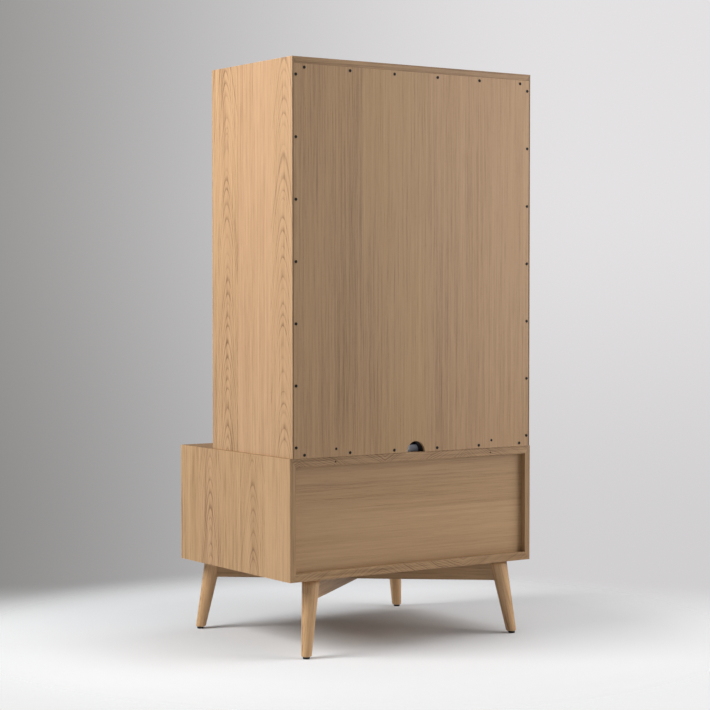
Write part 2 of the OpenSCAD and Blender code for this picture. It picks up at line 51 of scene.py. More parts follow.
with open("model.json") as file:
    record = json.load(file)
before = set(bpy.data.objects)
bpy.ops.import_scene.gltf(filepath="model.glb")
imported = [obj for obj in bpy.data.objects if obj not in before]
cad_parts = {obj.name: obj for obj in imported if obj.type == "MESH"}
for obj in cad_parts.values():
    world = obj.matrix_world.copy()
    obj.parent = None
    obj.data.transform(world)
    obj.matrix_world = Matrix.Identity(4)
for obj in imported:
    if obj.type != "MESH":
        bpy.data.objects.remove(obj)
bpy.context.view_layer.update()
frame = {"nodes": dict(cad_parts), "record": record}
NODE_BODY = {
    node: body
    for body, nodes in frame["record"]["behaviour"]["bodies"].items()
    for node in nodes
}
MM = 0.001


def corners(node):
    """The lowest and the highest corner of a node's box."""
    return [np.array(v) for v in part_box(node)]


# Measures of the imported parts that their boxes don't give.
LEG_NODES = ("leg_front_left", "leg_front_right", "leg_rear_left", "leg_rear_right")
LEG_TOP = (358 * MM, 289 * MM)  # x and y of a leg's top from the middle of the legs
LEG_TOP_R = 27 * MM
LEG_FOOT_R = 15.5 * MM
MIDDLE_Y = sum(corner[1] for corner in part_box("lower_bottom")) / 2
GLIDE_R = 10.5 * MM
SCREW_COUNT = 26
SCREW_HEAD_R = 4.6 * MM
# Radii of the rings on a head's top, closer together where the cross ends and at the rim
SCREW_RINGS = [r * MM for r in (0.02, 0.3, 0.5, 0.75, 1.0, 1.4, 1.8, 2.2, 2.4, 2.9, 3.6, 4.1,
                                4.4, 4.55)]
STRAP_HOLES = ((-295 * MM, 624 * MM), (295 * MM, 624 * MM))  # x and z of each
SHADE_RING_R = 4.4 * MM  # painted shade round the rim of a strap hole
CABLE_BORE = (0.0, 600 * MM, 34 * MM, 308.8 * MM)  # x, z, radius, and y where it starts


# ---- What a user may change ------------------------------------------------


def colour(name, description, default):
    return FloatVectorProperty(
        name=name, description=description, default=default, subtype="COLOR", size=3, min=0, max=1
    )


def length(name, description, default):
    return FloatProperty(
        name=name, description=description, default=default, subtype="DISTANCE", unit="LENGTH"
    )


def share(name, description, default):
    return FloatProperty(name=name, description=description, default=default, min=0, max=4)


class ArmoireOak(bpy.types.PropertyGroup):
    """Sizes and colours of the oak."""

    light: colour("Light oak", "Dense summer wood between the pores", (0.46, 0.288, 0.144))
    middle: colour("Middle oak", "Average tone of a board", (0.375, 0.226, 0.107))
    dark: colour("Dark oak", "Rings of spring wood", (0.185, 0.098, 0.040))
    ring: length("Ring width", "Average width of one year's growth", 3.2 * MM)
    grain_relief: length("Grain relief", "Depth of the open pores", 0.12 * MM)


class ArmoireBoards(bpy.types.PropertyGroup):
    """How the edges of the boards are finished."""

    ease: length("Eased edge", "Width of the rounding along a board's edges", 0.9 * MM)
    ease_steps: IntProperty(
        name="Steps", description="Facets across an eased edge", default=2, min=1, max=4
    )
    arris: length("Worn arris", "Width of the rubbed band along the edges", 1.6 * MM)


class ArmoireTurned(bpy.types.PropertyGroup):
    """Sizes of the turned parts."""

    foot_round: length("Foot rounding", "Radius at the foot of a leg", 4.0 * MM)
    glide_round: length("Glide rounding", "Radius around the foot of a glide", 1.2 * MM)
    recess_depth: length("Screw recess", "Depth of the cross in a screw head", 0.8 * MM)
    recess_span: length("Recess span", "Length of one bar of the cross", 4.6 * MM)
    recess_bar: length("Recess bar", "Width of one bar of the cross", 1.1 * MM)


class ArmoireFittings(bpy.types.PropertyGroup):
    """Colours of the boards that aren't oak, and of the metal."""

    laminate: colour("Laminate", "Grey face of the floor, shelf and drawer bottoms",
                     (0.55, 0.585, 0.69))
    birch: colour("Birch", "Face of the drawer plywood", (0.72, 0.56, 0.37))
    steel: colour("Steel", "Zinc plate on runners, rod and bolts", (0.62, 0.63, 0.65))
    brass: colour("Brass", "Satin brass of the hinges", (0.74, 0.55, 0.26))
    screw: colour("Screw", "Black finish of the screws in the back", (0.012, 0.01, 0.009))
    plastic: colour("Plastic", "Black glides and catches", (0.02, 0.02, 0.021))


class ArmoireStage(bpy.types.PropertyGroup):
    """Camera, floor and light."""

    azimuth: FloatProperty(name="Azimuth", description="Side that the camera stands on, degrees",
                           default=145.65)
    elevation: FloatProperty(name="Elevation", description="Camera above the horizon, degrees",
                             default=1.933)
    distance: length("Distance", "From the camera to the point that it looks at", 6.2188)
    lens: FloatProperty(name="Lens", description="Focal length in millimetres", default=97.95)
    aim: FloatVectorProperty(name="Aim", description="Point that the camera looks at",
                             default=(-0.0053, 0.0036, 0.8894), subtype="XYZ", unit="LENGTH")
    floor_colour: colour("Floor", "Colour of the floor", (0.735, 0.745, 0.76))
    ground: colour("Far floor", "Colour that the floor fades into", (0.87, 0.87, 0.87))
    wall_dark: colour("Dark wall", "Backdrop on its shaded side", (0.245, 0.241, 0.234))
    wall_light: colour("Light wall", "Backdrop on its lit side", (0.77, 0.755, 0.765))
    floor_near: length("Full floor", "Radius inside which the floor is whole", 0.85)
    floor_far: length("Floor edge", "Radius at which the floor has faded away", 1.45)
    sky: share("Sky light", "Strength of the even light from above the horizon", 0.14)
    ground_light: share("Ground light", "Strength of the light off the far floor", 0.6)
    key: FloatProperty(name="Key light", description="Power of the side light, watts", default=156)
    overhead: FloatProperty(name="Overhead", description="Power of the top light, watts",
                            default=92)
    fill: FloatProperty(name="Fill light", description="Power of the rear light, watts",
                        default=60)


# ---- Shader maths ----------------------------------------------------------


class Val:
    """An output of a node. Each operator adds the Math node that works it out."""

    def __init__(self, finish, socket):
        self.finish = finish
        self.socket = socket

    def math(self, operation, *others, clamp=False):
        settings = {"operation": operation, "use_clamp": clamp}
        return self.finish.node("ShaderNodeMath", settings, [self, *others])

    def after(self, operation, first):
        return self.finish.node("ShaderNodeMath", {"operation": operation}, [first, self])

    def __add__(self, other):
        return self.math("ADD", other)

    def __sub__(self, other):
        return self.math("SUBTRACT", other)

    def __mul__(self, other):
        return self.math("MULTIPLY", other)

    def __truediv__(self, other):
        return self.math("DIVIDE", other)

    def __rsub__(self, other):
        return self.after("SUBTRACT", other)

    __radd__ = __add__
    __rmul__ = __mul__

    def length(self):
        return self.finish.node("ShaderNodeVectorMath", {"operation": "LENGTH"}, [self], 1)

    def abs(self):
        return self.math("ABSOLUTE")

    def low(self, other):
        return self.math("MINIMUM", other)

    def high(self, other):
        return self.math("MAXIMUM", other)

    def step(self, start, stop):
        """0 below start and 1 above stop, smooth between them."""
        settings = {"interpolation_type": "SMOOTHSTEP"}
        return self.finish.node("ShaderNodeMapRange", settings, [self, start, stop, 0.0, 1.0])


class Finish:
    """A material, or the world, while its nodes are being laid."""

    def __init__(self, name, tree=None):
        if tree is None:
            self.material = bpy.data.materials.new(name)
            self.material.use_nodes = True
            tree = self.material.node_tree
        self.tree = tree
        tree.nodes.clear()

    def node(self, kind, settings=None, inputs=(), output=0):
        """Adds a node, its settings first and then its sockets, and returns one output."""
        made = self.tree.nodes.new(kind)
        for key, value in (settings or {}).items():
            if key == "stops":
                ramp = made.color_ramp
                while len(ramp.elements) > 1:
                    ramp.elements.remove(ramp.elements[-1])
                ramp.elements[0].position = value[0][0]
                for place, _tint in value[1:]:
                    ramp.elements.new(place)
                for element, (_place, tint) in zip(ramp.elements, value):
                    element.color = (*tint, 1.0)[:4]
            elif key == "ramp":
                made.color_ramp.interpolation = value
            else:
                setattr(made, key, value)
        pairs = inputs.items() if isinstance(inputs, dict) else enumerate(inputs)
        for key, value in pairs:
            socket = made.inputs[key]
            if isinstance(value, Val):
                self.tree.links.new(value.socket, socket)
            elif socket.type == "RGBA" and len(value) == 3:
                socket.default_value = (*value, 1.0)
            else:
                socket.default_value = value
        return Val(self, made.outputs[output])

    def vector(self, x, y, z):
        return self.node("ShaderNodeCombineXYZ", None, [x, y, z])

    def noise(self, vector, detail):
        """Noise about 0, in steps of one unit of the vector."""
        inputs = {"Vector": vector, "Scale": 1.0, "Detail": detail, "Roughness": 0.5}
        return self.node("ShaderNodeTexNoise", {"noise_dimensions": "3D"}, inputs) - 0.5

    def white(self, x, y):
        """A random number from 0 to 1 for each pair of whole numbers."""
        settings = {"noise_dimensions": "2D"}
        return self.node("ShaderNodeTexWhiteNoise", settings, {"Vector": self.vector(x, y, 0.0)})

    def mix(self, share_of_b, a, b, blend="MIX"):
        settings = {"data_type": "RGBA", "blend_type": blend, "clamp_factor": True}
        return self.node("ShaderNodeMix", settings, {0: share_of_b, 6: a, 7: b}, output=2)

    def ramp(self, value, stops, kind="LINEAR"):
        return self.node("ShaderNodeValToRGB", {"stops": stops, "ramp": kind}, [value])

    def place(self, axes="XYZ"):
        """Object coordinates in metres, in the order of axes."""
        spot = self.node("ShaderNodeTexCoord", output="Object")
        return self.split(spot, axes)

    def split(self, spot, axes="XYZ"):
        return [self.node("ShaderNodeSeparateXYZ", None, [spot], "XYZ".index(a)) for a in axes]

    def relief(self, height, depth, strength=1.0):
        """Normal of a surface that stands up by height times depth."""
        inputs = {"Strength": strength, "Distance": depth, "Height": height}
        return self.node("ShaderNodeBump", None, inputs)

    def close(self, tint, roughness, normal=None, **fixed):
        """Ends the material in one Principled shader. Each fixed value is a socket's."""
        inputs = {"Base Color": tint, "Roughness": roughness}
        if normal is not None:
            inputs["Normal"] = normal
        inputs.update({key.replace("_", " "): value for key, value in fixed.items()})
        shader = self.node("ShaderNodeBsdfPrincipled", None, inputs)
        self.node_out("ShaderNodeOutputMaterial", shader)
        return self.material

    def node_out(self, kind, shader):
        out = self.tree.nodes.new(kind)
        self.tree.links.new(shader.socket, out.inputs["Surface"])


# ---- Oak -------------------------------------------------------------------

ARCHED_CUTS = (45 * MM, 65 * MM)  # depths of cut where arches begin to fade and are gone
LIP_INSETS = (0.7 * MM, 0.3 * MM)  # where a veneered face passes into the lip on its edge
LIP_SWING = 310 * MM  # length over which the rings of a lip swing to one side


def growth(m, along, across, deep, heart, cut, slope, seed, ring):
    """Growth rings that a plane cuts. The distance from the heart of the log is the root of
    across squared plus depth squared; near the heart the log's taper adds to it along the
    grain, which draws nested arches, and far from it the rings run straight. Returns how
    dark the spring wood is, and how near the heart it is."""
    wander = m.noise(m.vector(along * 2.0, seed, 0.5), 1.0)
    x = across - heart + wander * (30 * MM)
    h = deep + cut
    r = (x * x + h * h).math("SQRT")
    arch = (x * x * -150.0).math("EXPONENT")
    bend = m.noise(m.vector(across * 8.0, along * 0.9, seed), 1.0)
    sway = m.noise(m.vector(across * 60.0, along * 4.5, seed), 1.0)
    r = r + along * slope + bend * (arch * (14 * MM) + 6 * MM) + sway * (1.6 * MM)
    uneven = m.noise(m.vector(r * 60.0, seed, 0.0), 1.0)
    years = r / ring + uneven * 2.6
    late = years.math("FRACT")
    vigour = m.white(years.math("FLOOR"), seed)
    spring = m.ramp(late, [(0.0, (0.9,) * 3), (0.06, (1.0,) * 3), (0.42, (0.18,) * 3),
                           (0.75, (0.0,) * 3), (0.93, (0.12,) * 3), (1.0, (0.9,) * 3)])
    return spring * (vigour * 0.75 + 0.25), arch


def oak_tones(m, along, across, deep, dark, arch, tone, warmth, seed, figure=1.0, grain=1.0):
    """Colour, roughness and relief of oak from its dark rings, its fibres and its pores.
    Figure is the strength of the rings and grain that of the fibres."""
    oak = bpy.context.scene.armoire_oak
    fibre = m.noise(m.vector(across * 620.0 + deep * 450.0, along * 11.0, seed), 1.0)
    streak = m.noise(m.vector(across * 150.0 + deep * 110.0, along * 1.8, seed), 2.0)
    band = m.noise(m.vector(across * 22.0, along * 0.9, seed), 1.0)
    broad = m.noise(m.vector(across * 5.0, along * 1.3, seed), 1.0)
    pore = m.noise(m.vector(across * 1900.0 + deep * 1500.0, along * 75.0, seed), 0.0)
    pore = pore.step(0.06, 0.2) * (dark * 0.8 + 0.2)
    value = ((fibre * 0.9 + streak * 0.95) * grain + band * 0.20 + broad * 0.22 + tone
             - dark * (arch * 0.24 + 0.17) * figure - pore * 0.16 + 0.56)
    tint = m.ramp(value, [(0.12, oak.dark), (0.52, oak.middle), (0.9, oak.light)])
    drift = m.noise(m.vector(across * 14.0, along * 0.7, seed + 31.7), 1.0) * 0.8
    warm = (drift + warmth).math("ADD", 0.0, clamp=True)
    tint = m.mix(warm, tint, m.mix(1.0, tint, (1.0, 0.975, 1.06), "MULTIPLY"))
    rough = dark * 0.07 + pore * 0.2 + broad * 0.12 + 0.43
    height = fibre * 0.25 - dark * 0.35 - pore
    return tint, rough, height


def own_number(name):
    """A number from 1 to 8 worked out from a name, which sets one board off from the next."""
    return (sum(map(ord, name)) * 0.618) % 7 + 1


def rubbed(spots, low, high, width):
    """1 on a box's edges and 0 inside its faces: a point on an edge is near two faces, so
    this is a step of the second smallest of its distances from the faces."""
    gaps = [(high[i] - low[i]) / 2 - (spots[i] - (high[i] + low[i]) / 2).abs() for i in range(3)]
    near = gaps[0].low(gaps[1])
    far = gaps[0].high(gaps[1])
    second = near.high(far.low(gaps[2]))
    return 1.0 - second.step(0.0, width)


def veneer(node, axes, leaves, slope=0.19, curl=0.01, rear_lip_shade=0.0, tone=0.0, figure=1.0,
           grain=1.0, turn=1, shade_rings=()):
    """Sliced oak veneer on a board, whose length, width and thickness lie along axes. The
    leaves reach the shader as the colours of one stepped ramp. The lip on the board's long
    edges is narrower stock with its own figure: curl makes its rings swing, and rear_lip_shade
    darkens the rear one as painted shade of the gap beside the back panel. Turn -1 runs the
    arches the other way. The rings in collars are painted shade, near black, around holes
    along Y, each as (x, z, radius)."""
    oak = bpy.context.scene.armoire_oak
    m = Finish("oak_" + node)
    low, high = corners(node)
    spots = m.place()
    along, across, deep = [spots["XYZ".index(a)] for a in axes]
    a, d = "XYZ".index(axes[1]), "XYZ".index(axes[2])
    middle = float(low[d] + high[d]) / 2
    width = float(high[a] - low[a])
    deep = deep - middle
    number = own_number(node)
    part = (across - float(low[a])) / width
    # A ramp holds only 0 to 1, so each value is squeezed into it and drawn out again below.
    stops = [(s, ((heart + 1) / 3, cut * 5, t + 0.5, pink)) for s, heart, cut, t, pink in leaves]
    leaves_ramp = m.ramp(part, stops, "CONSTANT")
    leaf = m.split(leaves_ramp)
    pinkness = Val(m, leaves_ramp.socket.node.outputs["Alpha"])
    heart = (leaf[0] * 3 - 1) * width + float(low[a])
    seed = leaf[0] * 37.0 + leaf[1] * 11.0 + number
    leaf_tone = leaf[2] - 0.5 + tone
    cut = leaf[1] / 5
    crown = 1.0 - cut.step(*ARCHED_CUTS)
    ring = (crown * 1.5 + 1.0) * oak.ring
    dark, arch = growth(m, along * float(turn), across, deep.abs(), heart, cut, crown * slope,
                        seed, ring)
    face = oak_tones(m, along, across, deep, dark, arch, leaf_tone, pinkness, seed, figure,
                     grain)
    swing = (along + number * 0.1).math("PINGPONG", LIP_SWING)
    swing = swing + m.noise(m.vector(along * 9.0, number, 0.0), 1.0) * 0.1
    lip_dark, lip_arch = growth(m, along, deep + swing * curl, across * 0.02, -0.4, 0.02, 0.0,
                                number, oak.ring * (1.0 + 3.0 * curl))
    # Painted shade: rear_lip_shade darkens the rear lip for the gap beside the back panel; every
    # lip is also a little darker in tone.
    edge_tone_and_shade = (part - 0.5).step(0.0, 0.1) * rear_lip_shade - 0.06
    edge = oak_tones(m, along, deep, across * 0.3, lip_dark, lip_arch, edge_tone_and_shade, 0.2,
                     number + 3.0, 1.2 + 3.0 * curl, 0.6)
    on_lip = (part - 0.5).abs().step(*(0.5 - inset / width for inset in LIP_INSETS))
    tint = m.mix(on_lip, face[0], edge[0])
    worn = rubbed(spots, *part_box(node), bpy.context.scene.armoire_boards.arris)
    patchy = m.noise(m.vector(along * 40.0, across * 40.0, deep * 40.0), 2.0)
    tint = m.mix(worn * (patchy * 1.5 + 0.3), tint, m.mix(1.0, tint, (1.12, 1.1, 1.06), "MULTIPLY"))
    # Painted shade: a near-black ring round each hole in collars.
    for x, z, radius in shade_rings:
        off = m.vector(spots[0] - x, spots[2] - z, 0.0).length()
        tint = m.mix(1.0 - off.step(radius - 0.3 * MM, radius), tint, (0.012, 0.009, 0.007))
    rough = face[1] - worn * 0.06
    normal = m.relief(face[2], oak.grain_relief, 0.6)
    return m.close(tint, rough, normal, Coat_Weight=0.05, Coat_Roughness=0.32,
                   Specular_IOR_Level=0.35)


def solid_oak(name, axes, heart, turn=0.0, tone=0.0, attribute=None, slope=0.02, gain=1.0):
    """Solid oak turned or planed from a billet whose heart, given as (across, deep), lies
    beside the piece. Gain brightens it."""
    oak = bpy.context.scene.armoire_oak
    m = Finish("solid_oak_" + name)
    if attribute:
        spot = m.node("ShaderNodeAttribute", {"attribute_name": attribute}, output="Vector")
    else:
        spot = m.node("ShaderNodeTexCoord", output="Object")
        if turn:
            spot = m.node("ShaderNodeMapping", None, {"Vector": spot, "Rotation": (0, 0, turn)})
    along, across, deep = m.split(spot, axes)
    number = own_number(name)
    dark, arch = growth(m, along, across, deep, heart[0], heart[1], slope, number, oak.ring)
    tint, rough, height = oak_tones(m, along, across, deep, dark, arch, tone, 0.3, number)
    tint = m.mix(1.0, tint, (gain,) * 3, "MULTIPLY")
    normal = m.relief(height, oak.grain_relief, 0.5)
    return m.close(tint, rough, normal, Coat_Weight=0.06, Coat_Roughness=0.3,
                   Specular_IOR_Level=0.35)


# ---- Other finishes --------------------------------------------------------


def laminate(name, bore=None, lipped=False):
    """Grey melamine: a fine speckle over a faint print of fibres, with a soft sheen. The
    wall of a bore along Y, given as (x, z, radius, where it starts), is painted near black as
    shade, and its end is painted pale as painted light, for the lit floor seen through the
    bore. A lipped board has a strip of oak along its front edge."""
    tint = bpy.context.scene.armoire_fittings.laminate
    m = Finish("laminate_" + name)
    x, y, z = m.place()
    fibre = m.noise(m.vector(x * 30.0, y * 700.0, z * 700.0), 2.0)
    speckle = m.noise(m.vector(x * 1500.0, y * 1500.0, z * 1500.0), 1.0)
    cloud = m.noise(m.vector(x * 6.0, y * 6.0, z * 6.0), 2.0)
    shade = fibre * 0.18 + speckle * 0.22 + cloud * 0.2 + 0.5
    dark = tuple(c * 0.8 for c in tint)
    light = tuple(min(1.0, c * 1.2) for c in tint)
    base = m.ramp(shade, [(0.2, dark), (0.8, light)])
    if bore:
        bore_x, bore_z, bore_r, start = bore
        off = m.vector(x - bore_x, z - bore_z, 0.0).length()
        # Painted shade: the wall of the bore is near black.
        wall = 1.0 - (off - bore_r).abs().step(0.3 * MM, 0.8 * MM)
        wall = wall * y.step(start, start + 0.5 * MM)
        base = m.mix(wall, base, (0.03, 0.016, 0.01))
        # Painted light: the far face of the bore is pale, for the lit floor seen through it.
        end = 1.0 - off.step(bore_r - 1.0 * MM, bore_r - 0.6 * MM)
        end = end * y.step(start - 1.0 * MM, start - 0.5 * MM)
        base = m.mix(end, base, (0.86, 0.91, 1.0))
    if lipped:
        oak = bpy.context.scene.armoire_oak
        wood = m.ramp(fibre * 0.6 + cloud * 0.3 + 0.5, [(0.25, oak.dark), (0.6, oak.middle)])
        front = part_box(name)[0][1]
        base = m.mix(1.0 - y.step(front + 1.0 * MM, front + 1.2 * MM), base, wood)
    normal = m.relief(speckle * 0.6 + fibre * 0.4, 0.05 * MM, 0.5)
    return m.close(base, cloud * 0.1 + speckle * 0.1 + 0.46, normal)


def birch(name, axes, ply=1.4 * MM):
    """Birch plywood: pale faces with short flecks, and crossed layers on the edges."""
    tint = bpy.context.scene.armoire_fittings.birch
    m = Finish("birch_" + name)
    along, across, deep = m.place(axes)
    layer = (deep / ply).math("FLOOR")
    crossed = m.white(layer, 3.0)
    fleck = m.noise(m.vector(along * 60.0, across * 900.0, layer), 1.0)
    wave = m.noise(m.vector(along * 2.5, across * 30.0, 1.0), 2.0)
    shade = crossed * 0.22 + fleck * 0.3 + wave * 0.35 + 0.42
    glue = (1.0 - (deep / ply).math("PINGPONG", 1.0).step(0.0, 0.14)) * 0.25
    dark = tuple(c * 0.72 for c in tint)
    light = tuple(min(1.0, c * 1.15) for c in tint)
    base = m.ramp(shade - glue, [(0.1, dark), (0.9, light)])
    normal = m.relief(fleck, 0.06 * MM, 0.5)
    return m.close(base, fleck * 0.1 + 0.5, normal)


def metal(name, tint, axes="XYZ", roughness=0.32, brushed=0.5, stain=0.25):
    """Plated metal: brushed along its length, with cloudy stains that dull it."""
    m = Finish("metal_" + name)
    along, across, deep = m.place(axes)
    brush = m.noise(m.vector(along * 35.0, across * 2200.0, deep * 2200.0), 1.0)
    cloud = m.noise(m.vector(along * 45.0, across * 45.0, deep * 45.0), 3.0)
    dull = (cloud * 2.0).math("ADD", 0.4, clamp=True)
    base = m.mix(dull * stain, tint, tuple(c * 0.55 for c in tint))
    rough = brush * 0.25 * brushed + dull * 0.12 + roughness
    normal = m.relief(brush, 0.03 * MM * brushed, 0.6)
    return m.close(base, rough, normal, Metallic=1.0)


def black(name, tint, roughness=0.42):
    """Black oxide or moulded plastic: a fine orange peel, paler where it is rubbed."""
    m = Finish("black_" + name)
    x, y, z = m.place()
    peel = m.noise(m.vector(x * 1800.0, y * 1800.0, z * 1800.0), 2.0)
    cloud = m.noise(m.vector(x * 160.0, y * 160.0, z * 160.0), 2.0)
    rub = cloud.step(0.08, 0.3)
    base = m.mix(rub * 0.5, tint, tuple(c * 2.6 + 0.01 for c in tint))
    normal = m.relief(peel, 0.03 * MM, 0.7)
    return m.close(base, cloud * 0.2 + roughness, normal, Specular_IOR_Level=0.2)


# ---- Meshes ----------------------------------------------------------------


def add_piece(name, points, faces, material, node, grain=None):
    """Puts a smooth mesh on its node's body, in place of the node. Grain is where each
    point lies in the billet."""
    mesh = bpy.data.meshes.new(name)
    mesh.from_pydata(points.tolist(), [], faces)
    mesh.polygons.foreach_set("use_smooth", np.ones(len(faces), bool))
    if grain is not None:
        store = mesh.attributes.new("grain", "FLOAT_VECTOR", "POINT")
        store.data.foreach_set("vector", grain.astype(np.float32).ravel())
    mesh.update()
    mesh.materials.append(material)
    piece = bpy.data.objects.new(name, mesh)
    bpy.context.scene.collection.objects.link(piece)
    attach(piece, NODE_BODY[node])
    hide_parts(node)


def skin(rows, cols, start=0):
    """Faces of a closed tube of rows rings with cols points each, and of the fans that
    close it onto the two poles that follow the rings."""
    i, j = np.arange(rows - 1)[:, None], np.arange(cols)[None, :]
    a, b = i * cols + j, i * cols + (j + 1) % cols
    tube = np.stack([a, b, b + cols, a + cols], -1).reshape(-1, 4) + start
    ring, turned = np.arange(cols), (np.arange(cols) + 1) % cols
    top = (rows - 1) * cols
    foot_pole, head_pole = np.full(cols, rows * cols), np.full(cols, rows * cols + 1)
    foot = np.stack([foot_pole, turned, ring], -1) + start
    head = np.stack([head_pole, ring + top, turned + top], -1) + start
    return tube.tolist() + foot.tolist() + head.tolist()


def rounded(points, radius, steps=5):
    """A profile with each inner corner of its polygon cut by an arc of that radius: the arc
    point at t is the blend of the corner and its two neighbours on a quadratic curve."""
    points = np.asarray(points, float)
    before, corner, after = points[:-2], points[1:-1], points[2:]
    reach_in = np.linalg.norm(before - corner, axis=1, keepdims=True)
    reach_out = np.linalg.norm(after - corner, axis=1, keepdims=True)
    cut_in = np.minimum(radius, reach_in * 0.45) / reach_in
    cut_out = np.minimum(radius, reach_out * 0.45) / reach_out
    p, q = corner + (before - corner) * cut_in, corner + (after - corner) * cut_out
    t = np.linspace(0, 1, steps)[None, :, None]
    arcs = (1 - t) ** 2 * p[:, None] + 2 * t * (1 - t) * corner[:, None] + t**2 * q[:, None]
    return np.vstack([points[:1], arcs.reshape(-1, 2), points[-1:]])


def lathe(profile, centre, axis, cols):
    """A profile of (radius, height) turned round an axis through centre: the point at
    angle a is centre + radius * (cos a * u + sin a * v) + height * axis. Returns the rings
    and the two poles at the profile's ends."""
    axis = np.asarray(axis, float)
    u = np.array([1.0, 0.0, 0.0]) if abs(axis[0]) < 0.9 else np.array([0.0, 0.0, 1.0])
    u = u - axis * (u @ axis)
    u = u / np.linalg.norm(u)
    v = np.cross(axis, u)
    angle = np.linspace(0, 2 * np.pi, cols, endpoint=False)[None, :, None]
    radius, height = profile[:, 0][:, None, None], profile[:, 1][:, None, None]
    rings = centre + radius * (np.cos(angle) * u + np.sin(angle) * v) + height * axis
    poles = centre + profile[[0, -1], 1][:, None] * axis
    return np.vstack([rings.reshape(-1, 3), poles])


def eased_board(node, material):
    """A copy of a board whose long outer edges are rounded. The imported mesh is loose
    triangles, so the copy is merged and its flat faces are joined first."""
    boards = bpy.context.scene.armoire_boards
    source = frame["nodes"][node]
    bm = bmesh.new()
    bm.from_mesh(source.data)
    bmesh.ops.remove_doubles(bm, verts=bm.verts, dist=0.002 * MM)
    bmesh.ops.dissolve_limit(bm, angle_limit=math.radians(0.5), verts=bm.verts, edges=bm.edges)
    weight = bm.edges.layers.float.new("bevel_weight_edge")
    square, long_edge = math.radians(80), 15 * MM
    for edge in bm.edges:
        flats = [f for f in edge.link_faces if max(map(abs, f.normal)) > 0.999]
        if len(flats) == 2 and edge.calc_length() > long_edge:
            if edge.calc_face_angle_signed(0.0) > square:
                edge[weight] = 1.0
    mesh = bpy.data.meshes.new("eased_" + node)
    bm.to_mesh(mesh)
    bm.free()
    for layer in ("custom_normal", "sharp_face"):
        if layer in mesh.attributes:
            mesh.attributes.remove(mesh.attributes[layer])
    mesh.polygons.foreach_set("use_smooth", np.zeros(len(mesh.polygons), bool))
    mesh.materials.clear()
    mesh.materials.append(material)
    piece = bpy.data.objects.new("eased_" + node, mesh)
    bpy.context.scene.collection.objects.link(piece)
    ease = piece.modifiers.new("eased edges", "BEVEL")
    ease.limit_method = "WEIGHT"
    ease.width = boards.ease
    ease.segments = boards.ease_steps
    ease.use_clamp_overlap = False
    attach(piece, NODE_BODY[node])
    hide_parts(node)


def dress(node, material):
    """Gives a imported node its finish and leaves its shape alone."""
    mesh = frame["nodes"][node].data
    mesh.materials.clear()
    mesh.materials.append(material)


# ---- Boards ----------------------------------------------------------------

# Leaves of veneer: (start, heart, depth of the cut in metres, tone, pinkness), the first two
# as shares of the board's width from its lowest corner. The shallow cuts show arches.
UPPER_SIDE_LEAVES = [(0, 0.19, 0.012, -0.02, 0.6), (0.33, -0.4, 0.09, 0.03, 1.0),
                     (0.74, 0.90, 0.028, 0.03, 0.7)]
LOWER_SIDE_LEAVES = [(0, -0.35, 0.09, 0.0, 0.1), (0.178, 0.285, 0.012, -0.03, 0.5),
                     (0.385, 0.68, 0.016, 0.0, 0.2), (0.78, 1.4, 0.09, 0.07, 0.4)]
BACK_LEAVES = [(0, -0.4, 0.09, 0.05, 0.6), (0.174, 0.9, 0.08, 0.0, 0.7),
               (0.272, -0.6, 0.09, 0.01, 0.6), (0.453, 1.3, 0.1, 0.05, 0.1),
               (0.638, -0.2, 0.09, 0.0, 0.2), (0.726, 1.5, 0.1, -0.06, 0.3),
               (0.833, -0.3, 0.08, -0.02, 0.2)]
LOWER_BACK_LEAVES = [(0, 1.35, 0.07, 0.12, 0.2), (0.52, -0.7, 0.08, -0.01, 0.3)]
DOOR_LEAVES = [(0, 0.17, 0.014, 0.0, 0.3), (0.36, 0.50, 0.018, 0.03, 0.5),
               (0.70, 0.86, 0.012, -0.02, 0.2)]
WIDE_LEAVES = [(0, 0.2, 0.018, 0.0, 0.4), (0.33, 0.52, 0.014, 0.02, 0.2),
               (0.68, 0.8, 0.016, -0.02, 0.5)]
DRAWER_LEAVES = [(0, 0.55, 0.014, 0.0, 0.3)]


class ARMOIRE_OT_upper_boards(bpy.types.Operator):
    """Eases and veneers the sides, top and back of the upper cabinet"""

    bl_idname = "armoire.upper_boards"
    bl_label = "Upper boards"

    def execute(self, context):
        for node in ("upper_side_left", "upper_side_right"):
            # rear_lip_shade darkens the rear lip as painted shade of the gap beside the back panel.
            side = veneer(node, "ZYX", UPPER_SIDE_LEAVES, rear_lip_shade=-0.3, tone=0.12, figure=1.05)
            eased_board(node, side)
        # rear_lip_shade darkens the rear lip as painted shade of the gap beside the back panel.
        top = veneer("upper_top", "XYZ", WIDE_LEAVES, rear_lip_shade=-0.14)
        eased_board("upper_top", top)
        # Painted shade round the rims of the strap holes.
        shade_rings = [(x, z, SHADE_RING_R) for x, z in STRAP_HOLES]
        back = veneer("back_panel", "ZXY", BACK_LEAVES, figure=0.7, grain=0.6,
                      shade_rings=shade_rings)
        eased_board("back_panel", back)
        rail = solid_oak("upper_rail_top", "XZY", heart=(1.9, 0.05))
        eased_board("upper_rail_top", rail)
        for node, bore in (("upper_bottom", CABLE_BORE), ("upper_rail_bottom", CABLE_BORE),
                           ("shelf", None)):
            board = laminate(node, bore, lipped=node != "upper_rail_bottom")
            eased_board(node, board)
        return {"FINISHED"}


